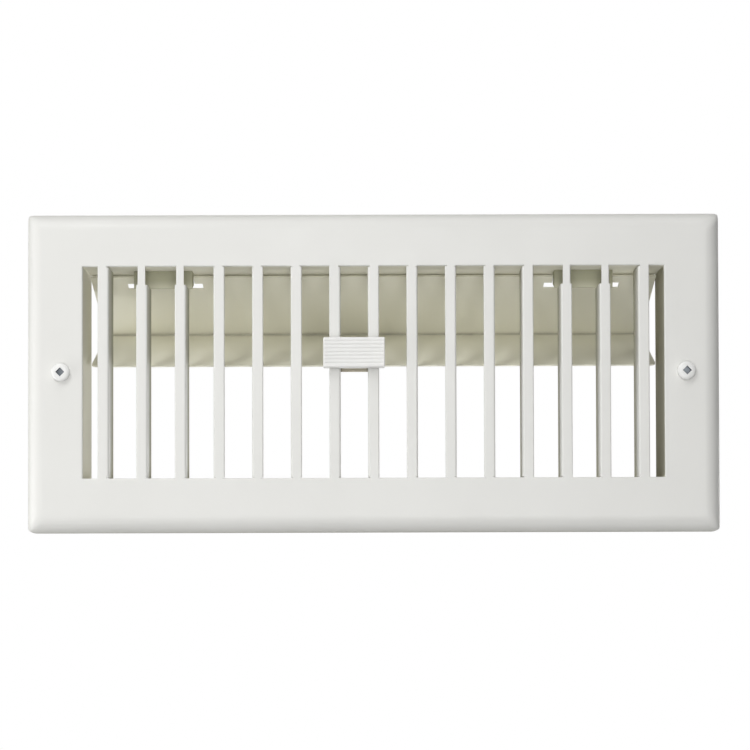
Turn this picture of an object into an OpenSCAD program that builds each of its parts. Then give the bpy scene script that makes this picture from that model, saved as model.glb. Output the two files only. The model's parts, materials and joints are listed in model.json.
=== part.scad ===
// Louvred wall register: a pressed steel face whose slots are folded back into fins,
// a four-piece duct collar, and a two-leaf folding damper worked by a knob that slides on the bars.
// Millimetres. X is to the right, Z is up and Y runs into the wall. The wall plane is y = 0.

/* [Face] */
// Clear width of the louvred opening
open_w = 246.3; // [230:0.1:270]
// Clear height of the louvred opening
open_h = 89.8; // [84:0.1:110]
// Width of the border beside the opening
side_margin = 24.35; // [22:0.05:30]
// Width of the border above and below the opening
top_margin = 23.1; // [20:0.1:30]
// How far the face stands off the wall
face_depth = 8; // [7.6:0.1:12]
// Outside radius of the rolled rim
rim_r = 7.5; // [4:0.1:7.5]
// Corner radius of the face in front view
corner_r = 3.7; // [2:0.1:8]
// Thickness of the face and collar sheet
sheet_t = 0.8; // [0.6:0.05:1]
// Rounding of the sheared slot edges
edge_r = 0.6; // [0.2:0.05:0.6]

/* [Louvres] */
// Number of upright bars
bar_count = 15; // [11:2:17]
// Front width of a bar
bar_w = 4.74; // [4:0.02:6]
// Slot left between the end bars and the end of the opening
end_gap = 6.31; // [5:0.01:9]
// Outside radius of the fold between a bar and its fin
bend_r = 0.9; // [0.9:0.05:1.4]
// Depth of a fin from the front of the face
fin_depth = 12.7; // [10:0.1:13]
// Depth of the two short fins that guide the knob
guide_depth = 6.3; // [5:0.1:7]
// Gap between the end of a fin and the end of its slot
fin_relief = 0.4; // [0.3:0.1:1]
// Height of the notch that clears a hinge bracket
notch_h = 7.8; // [6.5:0.1:9]
// How far the notch cuts into the plain edge of a bar
notch_in = 0.6; // [0.2:0.1:0.8]

/* [Collar] */
// How far the collar reaches into the duct behind the wall plane
collar_reach = 14.5; // [12.5:0.5:30]
// Width of the rail flange welded to the back of the face
rail_flange = 9; // [6:0.5:11]
// Width of the end plate flange welded to the back of the face
end_flange = 5.5; // [4:0.5:6]
// Length of the end plate tabs that lap the rails
tab_len = 12; // [8:1:20]

/* [Damper] */
// Distance between the axes at the two ends of each leaf
leaf_len = 43; // [38:0.5:46]
// Thickness of the leaf sheet
leaf_t = 0.6; // [0.5:0.05:0.7]
// Angle of the upper leaf from upright at rest
rest_angle = 65; // [50:1:75]
// Gap between a leaf and each end plate
leaf_gap = 1.05; // [0.6:0.05:2]
// Distance of the leaf hinge behind the fins
hinge_back = 3.8; // [3.6:0.1:6]
// Distance of the leaf hinge below the top of the opening
hinge_drop = 3.55; // [3.5:0.05:5]
// Length of the upper leaf above its hinge axis
leaf_head = 3; // [1:0.1:3]
// Length of the lower leaf beyond the knob axis
leaf_toe = 2; // [1.8:0.1:3]
// Corner radius at the free edge of the lower leaf
leaf_corner_r = 3; // [1:0.5:6]
// Radius of the hinge and pivot pins
pin_r = 1; // [0.8:0.05:1.1]
// Running clearance of every pin and bead
run_gap = 0.05; // [0.02:0.01:0.08]
// Clearance of a pin in the bracket that holds it
hold_gap = 0.03; // [0.01:0.01:0.05]
// Height and overhang of the formed heads on the knob pin
pin_head = 0.6; // [0.4:0.05:0.6]

/* [Hinge brackets] */
// Width of a hinge bracket over its ears
bracket_w = 25; // [22:0.5:28]
// Distance of a bracket outside the middle of the two bars that it passes
bracket_out = 0.5; // [0:0.1:1.5]
// Radius of the bracket ear round the pin
ear_r = 2; // [1.8:0.05:2]
// Side gap between a knuckle and the ears
ear_gap = 0.3; // [0.2:0.05:0.6]
// Width of the relief in the leaf outside each ear
relief_w = 3.8; // [2:0.1:6]
// Distance from the hinge axis to the near side of the relief
relief_from = 1.9; // [1:0.1:2.4]
// Distance from the hinge axis to the far side of the relief
relief_to = 5.9; // [4:0.1:8]

/* [Knob] */
// Width of the knob grip
grip_w = 26; // [20:0.2:32]
// Height of the knob grip
grip_h = 12.7; // [12:0.1:18]
// Thickness of the knob grip
grip_t = 4.6; // [3.5:0.1:8]
// Corner radius of the knob grip
grip_r = 1.2; // [0.5:0.1:3]
// Height of the grip centre above the knob pivot
grip_rise = 2.7; // [1:0.05:3]
// Number of finger grooves
groove_count = 7; // [3:1:8]
// Spacing of the finger grooves
groove_pitch = 1.55; // [1.3:0.01:1.6]
// Radius of a finger groove
groove_r = 0.55; // [0.3:0.05:0.6]
// Clearance between the knob and the bars and fins that guide it
guide_gap = 0.4; // [0.2:0.05:0.6]
// Distance from the pivot down to the bottom of the knob neck
neck_below = 4.3; // [3:0.1:4.6]
// Distance from the pivot up to the top of the knob neck
neck_above = 5.4; // [4.6:0.1:6]
// Half width of the clip behind the guide fins
clip_half = 9.5; // [8:0.1:11]
// Thickness of the clip sheet
clip_t = 0.8; // [0.6:0.05:1]
// Half length of the lower leaf knuckle in the clip
knuckle_half = 4; // [3:0.1:5]

/* [Screws] */
// Distance of a screw outside the end of the opening
screw_out = 9.1; // [8.8:0.05:11]
// Radius over the screw thread
screw_r = 2.08; // [1.7:0.01:2.2]
// Radius of the plain neck under the screw head
screw_neck_r = 1.75; // [1.4:0.05:1.75]
// Length of the plain neck under the screw head
screw_neck = 2.4; // [1.5:0.1:6]
// Length of the screw under its head
screw_len = 25.4; // [16:0.2:40]
// Radius of the screw head
head_r = 3.9; // [3.4:0.1:4.5]
// Height of the screw head
head_h = 2.7; // [2.4:0.1:3.2]
// Side of the square drive recess
drive_w = 2.8; // [2.2:0.1:3.2]
// Depth of the square drive recess
drive_d = 1.6; // [1:0.1:1.8]
// Clearance round the screw in the face
screw_gap = 0.42; // [0.2:0.02:0.5]

/* [Hidden] */
$fn = 48;
// Overshoot of a cutting solid
cut = 1;

// Face and bars
face_w = open_w + 2 * side_margin;
face_h = open_h + 2 * top_margin;
front_y = -face_depth;
back_y = front_y + sheet_t;
bar_pitch = (open_w - 2 * end_gap - bar_w) / (bar_count - 1);
fin_y = front_y + fin_depth;
guide_y = front_y + guide_depth;
bar_lap = 2 * edge_r;
knob_bar = floor(bar_count / 2);
knob_x = bar_x(knob_bar + 0.5);
bracket_x = bar_x(bar_count - 1.5) + bracket_out;
screw_x = open_w / 2 + screw_out;
flange_r = sheet_t + 0.3;

// Damper axes
hinge_y = fin_y + hinge_back;
hinge_z = open_h / 2 - hinge_drop;
fold_y = hinge_y + leaf_len * sin(rest_angle);
fold_z = hinge_z - leaf_len * cos(rest_angle);
pivot_z = hinge_z - 2 * leaf_len * cos(rest_angle);
leaf_w = open_w - 2 * leaf_gap;
bore_r = pin_r + run_gap;
knuckle_r = bore_r + leaf_t;
hook_lip = run_gap;
tongue_half = bracket_w / 2 - sheet_t - ear_gap;
ear_slot = bracket_w / 2 + ear_gap;

// Hinge brackets
web_y = fin_y - 1.5;
web_bottom = open_h / 2 - notch_h + 0.3;
foot_rear_y = hinge_y + ear_r;

// Knob
grip_rear_y = front_y - guide_gap;
clip_y = guide_y + guide_gap;
slot_w = bar_pitch - bar_w;
neck_half = slot_w / 2 - guide_gap;
cheek_in = knuckle_half + ear_gap;
cheek_out = cheek_in + clip_t;
cheek_slot = cheek_out + pin_head + ear_gap;
tenon_half = cheek_in - 1.2;
tenon_gap = 0.1;
tenon_z = [1.2, 4.2];

// Centre of bar i, counted from 1 at the left
function bar_x(i) = (i - (bar_count + 1) / 2) * bar_pitch;
// Side of bar i that its fin is folded from: 1 is right and -1 is left
function fin_side(i) = i <= knob_bar ? 1 : -1;
// Depth of the fin of bar i
function fin_end(i) = (i == knob_bar || i == knob_bar + 1) ? guide_y : fin_y;
// Whether a hinge bracket passes behind bar i
function notched(i) = i == 2 || i == 3 || i == bar_count - 2 || i == bar_count - 1;

// Extrudes a profile drawn in (Y, Z) along X, centred
module along_x(length) {
    rotate([90, 0, 90])
        linear_extrude(height = length, center = true)
            children();
}

// Extrudes a profile drawn in (X, Z) along Y, from y0 to y1
module along_y(y0, y1) {
    translate([0, y1, 0])
        rotate([90, 0, 0])
            linear_extrude(height = y1 - y0)
                children();
}

// Extrudes a profile drawn in (X, Y) along Z, from z0 to z1
module along_z(z0, z1) {
    translate([0, 0, z0])
        linear_extrude(height = z1 - z0)
            children();
}

// Cylinder along X, centred on x = 0
module rod(r, length) {
    rotate([0, 90, 0])
        cylinder(r = r, h = length, center = true);
}

// Rectangle with round corners, centred
module round_rect(w, h, r) {
    square([w - 2 * r, h], center = true);
    square([w, h - 2 * r], center = true);
    for (sx = [-1, 1], sy = [-1, 1])
        translate([sx * (w / 2 - r), sy * (h / 2 - r)])
            circle(r = r);
}

// Section across the face: flat front and rolled rims, open end at v = rear
module rim_section(w, depth, r, rear) {
    translate([-w / 2, r - depth])
        square([w, depth - r + rear]);
    translate([r - w / 2, -depth])
        square([w - 2 * r, depth + rear]);
    for (s = [-1, 1])
        translate([s * (w / 2 - r), r - depth])
            circle(r = r);
}

// Solid pan with rolled rims that meet on mitres at the corners
module pan(w, h, depth, r, corner, rear) {
    intersection() {
        along_z(-h / 2, h / 2)
            rim_section(w, depth, r, rear);
        rotate([0, 90, 0])
            linear_extrude(height = w, center = true)
                rim_section(h, depth, r, rear);
        along_y(-depth, rear)
            round_rect(w, h, corner);
    }
}

// Cutting section for a hole of width w whose front edges are rounded
module rolled_hole_section(w) {
    translate([-w / 2, front_y - cut])
        square([w, sheet_t + 2 * cut]);
    for (s = [-1, 1])
        difference() {
            translate([s * (w / 2 + edge_r / 2), front_y + edge_r / 2])
                square([edge_r, edge_r], center = true);
            translate([s * (w / 2 + edge_r), front_y + edge_r])
                circle(r = edge_r);
        }
}

// Louvred opening with rounded front edges
module opening() {
    intersection() {
        along_z(-open_h / 2 - edge_r, open_h / 2 + edge_r)
            rolled_hole_section(open_w);
        rotate([0, 90, 0])
            linear_extrude(height = open_w + 2 * edge_r, center = true)
                rolled_hole_section(open_h);
    }
}

// Section of a bar with its fold on the right, its plain edge rounded and cut back by trim
module bar_section(trim) {
    left = trim - bar_w / 2;
    translate([left, front_y + edge_r])
        square([bar_w / 2 - bend_r - left, sheet_t - edge_r]);
    translate([left + edge_r, front_y])
        square([bar_w / 2 - bend_r - left - edge_r, sheet_t]);
    intersection() {
        translate([left, front_y])
            square([edge_r, sheet_t]);
        translate([left + edge_r, front_y + edge_r])
            circle(r = edge_r);
    }
}

// Section of the fold and fin at the right of a bar
module fin_section(end_y) {
    translate([bar_w / 2 - bend_r, front_y + bend_r])
        intersection() {
            difference() {
                circle(r = bend_r);
                circle(r = bend_r - sheet_t);
            }
            translate([0, -bend_r])
                square([bend_r, bend_r]);
        }
    translate([bar_w / 2 - sheet_t, front_y + bend_r])
        square([sheet_t, end_y - front_y - bend_r]);
}

// One louvre bar with its fin, and its notch where a hinge bracket passes
module louvre(i) {
    z1 = open_h / 2;
    z_notch = notched(i) ? z1 - notch_h : z1;
    translate([bar_x(i), 0, 0])
        mirror([fin_side(i) < 0 ? 1 : 0, 0, 0]) {
            along_z(-z1 - bar_lap, z_notch + (notched(i) ? 0 : bar_lap))
                bar_section(0);
            if (notched(i))
                along_z(z_notch, z1 + bar_lap)
                    bar_section(notch_in);
            along_z(-z1 + fin_relief, z_notch - (notched(i) ? 0 : fin_relief))
                fin_section(fin_end(i));
        }
}

module faceplate() {
    color("whitesmoke") {
        difference() {
            pan(face_w, face_h, face_depth, rim_r, corner_r, 0);
            pan(face_w - 2 * sheet_t, face_h - 2 * sheet_t, face_depth - sheet_t,
                rim_r - sheet_t, corner_r - sheet_t, cut);
            opening();
            for (s = [-1, 1])
                translate([s * screw_x, 0, 0])
                    along_y(front_y - cut, back_y + cut)
                        circle(r = screw_r + screw_gap);
        }
        for (i = [1 : bar_count])
            louvre(i);
    }
}

// Angle section: a flange up the back of the face and a wall into the duct
module angle_section(flange) {
    translate([back_y, flange_r])
        square([sheet_t, flange - flange_r]);
    translate([back_y + flange_r, 0])
        square([collar_reach - back_y - flange_r, sheet_t]);
    translate([back_y + flange_r, flange_r])
        intersection() {
            difference() {
                circle(r = flange_r);
                circle(r = flange_r - sheet_t);
            }
            translate([-flange_r, -flange_r])
                square([flange_r, flange_r]);
        }
}

module rail() {
    translate([0, 0, open_h / 2])
        along_x(open_w)
            angle_section(rail_flange);
}

module top_rail() {
    color("gainsboro")
        rail();
}

module bottom_rail() {
    color("gainsboro")
        mirror([0, 0, 1])
            rail();
}

// End plate at the right: angle wall, with a tab bent over each rail
module end_plate() {
    wall_h = open_h + 4 * sheet_t;
    tab_y0 = back_y + 4;
    tab_y1 = collar_reach - 2;
    translate([open_w / 2, 0, 0]) {
        along_z(-wall_h / 2, wall_h / 2)
            mirror([1, -1])
                angle_section(end_flange);
        for (s = [-1, 1])
            translate([sheet_t - tab_len, tab_y0, s * (wall_h / 2 - sheet_t / 2) - sheet_t / 2])
                cube([tab_len, tab_y1 - tab_y0, sheet_t]);
    }
}

module left_end_plate() {
    color("lightgray")
        mirror([1, 0, 0])
            end_plate();
}

module right_end_plate() {
    color("lightgray")
        end_plate();
}

// Side view of a bracket ear in (Y, Z), with its pin hole
module ear_section() {
    difference() {
        union() {
            polygon([[web_y, open_h / 2], [web_y, web_bottom], [web_y + sheet_t, web_bottom],
                     [hinge_y, hinge_z - ear_r], [foot_rear_y, hinge_z], [foot_rear_y, open_h / 2]]);
            translate([hinge_y, hinge_z])
                circle(r = ear_r);
        }
        translate([hinge_y, hinge_z])
            circle(r = pin_r + hold_gap);
    }
}

// Bracket bent from one blank: a foot under the top rail, a web in front and two ears
module hinge_bracket() {
    translate([-bracket_w / 2, web_y, open_h / 2 - sheet_t])
        cube([bracket_w, foot_rear_y - web_y, sheet_t]);
    translate([-bracket_w / 2, web_y, web_bottom])
        cube([bracket_w, sheet_t, open_h / 2 - web_bottom]);
    for (s = [-1, 1])
        translate([s * (bracket_w - sheet_t) / 2, 0, 0])
            along_x(sheet_t)
                ear_section();
}

module hinge_bracket_left() {
    color("silver")
        translate([-bracket_x, 0, 0])
            hinge_bracket();
}

module hinge_bracket_right() {
    color("silver")
        translate([bracket_x, 0, 0])
            hinge_bracket();
}

// Pin with a formed head at each end, over a width of grip
module headed_pin(grip) {
    rod(pin_r, grip + 2 * pin_head);
    for (s = [-1, 1])
        translate([s * (grip + pin_head) / 2, 0, 0])
            rod(pin_r + pin_head, pin_head);
}

module hinge_pin_left() {
    color("dimgray")
        translate([-bracket_x, hinge_y, hinge_z])
            rod(pin_r, bracket_w);
}

module hinge_pin_right() {
    color("dimgray")
        translate([bracket_x, hinge_y, hinge_z])
            rod(pin_r, bracket_w);
}

// Block across a leaf: along X from x0 to x1 and along the leaf from s0 to s1
module leaf_cut(x0, x1, s0, s1) {
    translate([x0, s0, -2 * knuckle_r])
        cube([x1 - x0, s1 - s0, 4 * knuckle_r]);
}

// Upper leaf laid flat: hinge axis at the origin, Y along the leaf, Z to its rear
module upper_leaf_flat() {
    difference() {
        union() {
            along_x(leaf_w) {
                difference() {
                    translate([-leaf_head, 0])
                        square([leaf_len + leaf_head, leaf_t]);
                    translate([leaf_len, 0])
                        circle(r = bore_r);
                }
                translate([leaf_len, 0])
                    difference() {
                        circle(r = knuckle_r);
                        circle(r = bore_r);
                        translate([-2 * knuckle_r, -4 * knuckle_r - hook_lip])
                            square([4 * knuckle_r, 4 * knuckle_r]);
                    }
            }
            for (s = [-1, 1])
                translate([s * bracket_x, 0, 0])
                    rod(knuckle_r, 2 * tongue_half);
        }
        for (s = [-1, 1])
            translate([s * bracket_x, 0, 0]) {
                rod(bore_r, bracket_w);
                leaf_cut(-ear_slot, ear_slot, -leaf_head - cut, -knuckle_r);
                for (m = [0, 1])
                    mirror([m, 0, 0]) {
                        leaf_cut(tongue_half, ear_slot, -2 * knuckle_r, relief_to);
                        leaf_cut(tongue_half, bracket_w / 2 + relief_w, relief_from, relief_to);
                    }
            }
    }
}

module upper_leaf() {
    color("beige")
        translate([0, hinge_y, hinge_z])
            rotate([rest_angle - 90, 0, 0])
                upper_leaf_flat();
}

// Front view of the lower leaf's free corners: the material outside the corner radius
module corner_trim() {
    difference() {
        translate([0, -leaf_corner_r])
            square([leaf_corner_r + cut, leaf_corner_r + cut]);
        translate([0, -leaf_corner_r])
            circle(r = leaf_corner_r);
    }
}

// Lower leaf laid flat: fold axis at the origin, Y along the leaf, Z to its rear
module lower_leaf_flat() {
    difference() {
        union() {
            along_x(leaf_w) {
                translate([0, -leaf_t / 2])
                    square([leaf_len + leaf_toe, leaf_t]);
                circle(r = pin_r);
            }
            translate([knob_x, leaf_len, 0])
                rod(knuckle_r, 2 * knuckle_half);
        }
        translate([knob_x, leaf_len, 0]) {
            rod(bore_r, 2 * cheek_out);
            leaf_cut(-cheek_slot, cheek_slot, knuckle_r, leaf_toe + cut);
            for (m = [0, 1])
                mirror([m, 0, 0])
                    leaf_cut(knuckle_half, cheek_slot, -ear_r - ear_gap - leaf_t, leaf_toe + cut);
        }
        for (m = [0, 1])
            mirror([m, 0, 0])
                translate([leaf_w / 2 - leaf_corner_r, leaf_len + leaf_toe, -leaf_t])
                    linear_extrude(height = 2 * leaf_t)
                        corner_trim();
    }
}

module lower_leaf() {
    color("wheat")
        translate([0, fold_y, fold_z])
            rotate([-90 - rest_angle, 0, 0])
                lower_leaf_flat();
}

// Side view of the grip in (Y, Z): round front edges and finger grooves
module grip_section() {
    difference() {
        union() {
            translate([grip_rear_y - grip_t + grip_r, -grip_h / 2])
                square([grip_t - grip_r, grip_h]);
            translate([grip_rear_y - grip_t, grip_r - grip_h / 2])
                square([grip_t, grip_h - 2 * grip_r]);
            for (s = [-1, 1])
                translate([grip_rear_y - grip_t + grip_r, s * (grip_h / 2 - grip_r)])
                    circle(r = grip_r);
        }
        for (i = [0 : groove_count - 1])
            translate([grip_rear_y - grip_t, (i - (groove_count - 1) / 2) * groove_pitch])
                circle(r = groove_r);
    }
}

module knob_grip() {
    color("white")
        translate([knob_x, 0, pivot_z]) {
            translate([0, 0, grip_rise])
                intersection() {
                    along_x(grip_w)
                        grip_section();
                    along_y(grip_rear_y - grip_t, grip_rear_y)
                        round_rect(grip_w, grip_h, grip_r);
                }
            translate([-neck_half, grip_rear_y - cut, -neck_below])
                cube([2 * neck_half, clip_y - grip_rear_y + cut, neck_below + neck_above]);
            translate([-tenon_half, clip_y - cut, tenon_z[0]])
                cube([2 * tenon_half, clip_t + 2 * cut, tenon_z[1] - tenon_z[0]]);
        }
}

// Side view of a clip cheek in (Y, Z) about the pivot height, with its pin hole
module cheek_section() {
    difference() {
        union() {
            translate([clip_y, -ear_r])
                square([hinge_y - clip_y, 2 * ear_r]);
            translate([hinge_y, 0])
                circle(r = ear_r);
        }
        translate([hinge_y, 0])
            circle(r = pin_r + hold_gap);
    }
}

module knob_clip() {
    color("slategray")
        translate([knob_x, 0, pivot_z]) {
            difference() {
                translate([-clip_half, clip_y, -neck_below])
                    cube([2 * clip_half, clip_t, neck_below + neck_above]);
                translate([-tenon_half - tenon_gap, clip_y - cut, tenon_z[0] - tenon_gap])
                    cube([2 * (tenon_half + tenon_gap), clip_t + 2 * cut,
                          tenon_z[1] - tenon_z[0] + 2 * tenon_gap]);
            }
            for (s = [-1, 1])
                translate([s * (cheek_in + clip_t / 2), 0, 0])
                    along_x(clip_t)
                        cheek_section();
        }
}

module knob_pivot_pin() {
    color("dimgray")
        translate([knob_x, hinge_y, pivot_z])
            headed_pin(2 * cheek_out);
}

// Screw along +Z with the underside of its head at the origin
module screw() {
    rim_h = 1;
    dome = head_h - rim_h;
    dome_r = (head_r * head_r + dome * dome) / (2 * dome);
    tip = 3 * screw_r;
    difference() {
        rotate_extrude() {
            intersection() {
                translate([0, -head_h])
                    square([head_r, head_h]);
                translate([0, dome_r - head_h])
                    circle(r = dome_r);
            }
            translate([0, -cut / 2])
                square([screw_neck_r, screw_neck + cut]);
            translate([0, screw_neck])
                square([screw_r, screw_len - tip - screw_neck]);
            polygon([[0, screw_len - tip], [screw_r, screw_len - tip], [0, screw_len]]);
        }
        rotate([0, 0, 45])
            translate([-drive_w / 2, -drive_w / 2, -head_h - cut])
                cube([drive_w, drive_w, drive_d + cut]);
    }
}

module wall_screw_left() {
    color("lightsteelblue")
        translate([-screw_x, front_y, 0])
            rotate([-90, 0, 0])
                screw();
}

module wall_screw_right() {
    color("lightsteelblue")
        translate([screw_x, front_y, 0])
            rotate([-90, 0, 0])
                screw();
}

faceplate();
top_rail();
bottom_rail();
left_end_plate();
right_end_plate();
hinge_bracket_left();
hinge_bracket_right();
hinge_pin_left();
hinge_pin_right();
upper_leaf();
lower_leaf();
knob_grip();
knob_clip();
knob_pivot_pin();
wall_screw_left();
wall_screw_right();
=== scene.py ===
"""Dresses a louvred wall register: enamelled face, folding damper, sliding knob and painted wall screws."""
import json
import logging
import math
from dataclasses import dataclass, field, replace
from enum import Enum
from typing import Callable, Iterable

import bmesh
import bpy
from mathutils import Matrix, Vector

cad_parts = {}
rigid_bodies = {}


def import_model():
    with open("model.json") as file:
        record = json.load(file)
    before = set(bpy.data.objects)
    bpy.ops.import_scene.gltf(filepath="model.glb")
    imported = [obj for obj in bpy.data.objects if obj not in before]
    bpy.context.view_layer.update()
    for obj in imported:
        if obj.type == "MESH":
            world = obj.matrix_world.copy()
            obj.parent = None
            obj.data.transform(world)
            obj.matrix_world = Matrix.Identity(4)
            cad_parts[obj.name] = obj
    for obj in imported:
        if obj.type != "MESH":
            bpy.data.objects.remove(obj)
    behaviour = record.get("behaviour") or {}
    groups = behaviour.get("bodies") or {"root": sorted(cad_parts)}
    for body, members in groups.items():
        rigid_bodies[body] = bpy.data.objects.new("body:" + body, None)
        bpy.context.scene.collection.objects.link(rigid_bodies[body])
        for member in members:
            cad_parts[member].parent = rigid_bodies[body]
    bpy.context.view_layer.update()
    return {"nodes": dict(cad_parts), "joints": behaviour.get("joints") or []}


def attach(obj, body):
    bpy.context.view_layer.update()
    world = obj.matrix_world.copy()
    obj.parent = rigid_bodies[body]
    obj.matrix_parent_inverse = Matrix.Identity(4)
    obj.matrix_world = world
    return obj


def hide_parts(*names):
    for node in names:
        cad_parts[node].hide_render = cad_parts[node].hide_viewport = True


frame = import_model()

logging.basicConfig(level=logging.INFO, format="%(name)s: %(message)s")
LOG = logging.getLogger("register")

MM = 0.001
TOUCH = 1e-6  # metres within which two places count as one
MERGE = 2e-6  # metres within which healing merges vertices
FINE_CUT = 1e-7  # metres within which a vertex lies on a cut
Point = tuple[float, float, float]
Colour = tuple[float, float, float]
Span = tuple[float, float]


class Body(Enum):
    """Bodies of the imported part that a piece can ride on."""

    FRAME = "frame"
    UPPER_LEAF = "upper_leaf"
    LOWER_LEAF = "lower_leaf"
    KNOB = "knob"


class Slot(Enum):
    """Material slots of the record."""

    FACE = "face_enamel"
    COLLAR = "collar_enamel"
    DAMPER = "damper_enamel"
    KNOB = "knob_plastic"
    SCREW = "screw_enamel"
    PIN = "pin_steel"
    CLIP = "clip_steel"


class Grain(Enum):
    """Direction in which a bare metal piece was drawn or rolled, as stretch factors on X, Y and Z."""

    ALONG_X = (0.06, 1.0, 1.0)
    ALONG_Z = (1.0, 1.0, 0.06)
    NONE = (1.0, 1.0, 1.0)


@dataclass(frozen=True)
class ShadeMark:
    """A patch of painted shade, by default a band along a line that runs along X.

    The distance from the middle is weighted by across, axis by axis. The mark is full over the share core of
    its reach.
    """

    middle: Point
    reach: float
    tone: Colour
    core: float = 0.9
    across: Point = (0.0, 1.0, 1.0)


class NodeSheet:
    """A material's node tree, laid out step by step."""

    def __init__(self, name: str) -> None:
        """Starts a tree with a Principled shader and an output.

        Args:
            name: name of the material.
        """
        self.material = bpy.data.materials.new(name)
        self.material.use_nodes = True
        self.tree = self.material.node_tree
        self.shader = self.tree.nodes["Principled BSDF"]

    def node(self, kind: str, **settings: object) -> bpy.types.Node:
        """Adds a node.

        Args:
            kind: Blender's node type.
            settings: properties of the node.

        Returns:
            The new node.
        """
        made = self.tree.nodes.new(kind)
        for key, value in settings.items():
            setattr(made, key, value)
        return made

    def join(self, source: bpy.types.NodeSocket, target: bpy.types.NodeSocket) -> None:
        """Links two sockets."""
        self.tree.links.new(source, target)

    def place(self, stretch: Point = (1.0, 1.0, 1.0)) -> bpy.types.NodeSocket:
        """Gives the piece's own coordinates, stretched along the axes.

        Args:
            stretch: factors on X, Y and Z.

        Returns:
            A vector socket.
        """
        coords = self.node("ShaderNodeTexCoord")
        mapping = self.node("ShaderNodeMapping")
        mapping.inputs["Scale"].default_value = stretch
        self.join(coords.outputs["Object"], mapping.inputs["Vector"])
        return mapping.outputs["Vector"]

    def noise(self, place: bpy.types.NodeSocket, size: float, detail: float = 2.0) -> bpy.types.NodeSocket:
        """Adds a noise pattern.

        Args:
            place: coordinates to read.
            size: size of its patches in metres.
            detail: octaves.

        Returns:
            The noise value.
        """
        pattern = self.node("ShaderNodeTexNoise")
        pattern.inputs["Scale"].default_value = 1.0 / size
        pattern.inputs["Detail"].default_value = detail
        self.join(place, pattern.inputs["Vector"])
        return pattern.outputs["Fac"]

    def spread(self, value: bpy.types.NodeSocket, low: float, high: float,
               span: Span = (0.3, 0.7)) -> bpy.types.NodeSocket:
        """Maps a pattern to a range.

        Args:
            value: pattern to read.
            low: result at the low end of the span.
            high: result at the high end of the span.
            span: part of the pattern's values that is used.

        Returns:
            The mapped value.
        """
        ramp = self.node("ShaderNodeMapRange", interpolation_type="SMOOTHSTEP")
        ramp.inputs["From Min"].default_value = span[0]
        ramp.inputs["From Max"].default_value = span[1]
        ramp.inputs["To Min"].default_value = low
        ramp.inputs["To Max"].default_value = high
        self.join(value, ramp.inputs["Value"])
        return ramp.outputs["Result"]

    def blend(self, share: bpy.types.NodeSocket, first: Colour | bpy.types.NodeSocket,
              second: Colour) -> bpy.types.NodeSocket:
        """Mixes two colours by a pattern.

        Args:
            share: how much of the second colour shows.
            first: colour at 0, or the socket that gives it.
            second: colour at 1.

        Returns:
            The mixed colour.
        """
        mix = self.node("ShaderNodeMix", data_type="RGBA")
        start, end = (socket for socket in mix.inputs if socket.type == "RGBA")
        if isinstance(first, tuple):
            start.default_value = (*first, 1.0)
        else:
            self.join(first, start)
        end.default_value = (*second, 1.0)
        self.join(share, mix.inputs["Factor"])
        return next(socket for socket in mix.outputs if socket.type == "RGBA")

    def relief(self, height: bpy.types.NodeSocket, depth: float, strength: float,
               under: bpy.types.NodeSocket | None = None) -> bpy.types.NodeSocket:
        """Turns a pattern into bump.

        Args:
            height: pattern to raise.
            depth: height of the relief in metres.
            strength: share of the relief that shows.
            under: normal of a relief below this one.

        Returns:
            The normal.
        """
        bump = self.node("ShaderNodeBump")
        bump.inputs["Strength"].default_value = strength
        bump.inputs["Distance"].default_value = depth
        self.join(height, bump.inputs["Height"])
        if under is not None:
            self.join(under, bump.inputs["Normal"])
        return bump.outputs["Normal"]

    def near(self, place: bpy.types.NodeSocket, mark: ShadeMark) -> bpy.types.NodeSocket:
        """Marks what lies close to a patch of painted shade.

        Args:
            place: coordinates to read.
            mark: the patch of painted shade.

        Returns:
            1 in its middle and 0 beyond its reach.
        """
        offset = self.node("ShaderNodeVectorMath", operation="SUBTRACT")
        offset.inputs[1].default_value = mark.middle
        across = self.node("ShaderNodeVectorMath", operation="MULTIPLY")
        across.inputs[1].default_value = mark.across
        away = self.node("ShaderNodeVectorMath", operation="LENGTH")
        self.join(place, offset.inputs[0])
        self.join(offset.outputs["Vector"], across.inputs[0])
        self.join(across.outputs["Vector"], away.inputs[0])
        return self.spread(away.outputs["Value"], 1.0, 0.0, (mark.core * mark.reach, mark.reach))

    def set(self, **values: float | tuple[float, ...]) -> None:
        """Sets plain values on the shader's sockets, with underscores for the spaces in their names."""
        for key, value in values.items():
            self.shader.inputs[key.replace("_", " ").title().replace("Ior", "IOR")].default_value = value


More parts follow.
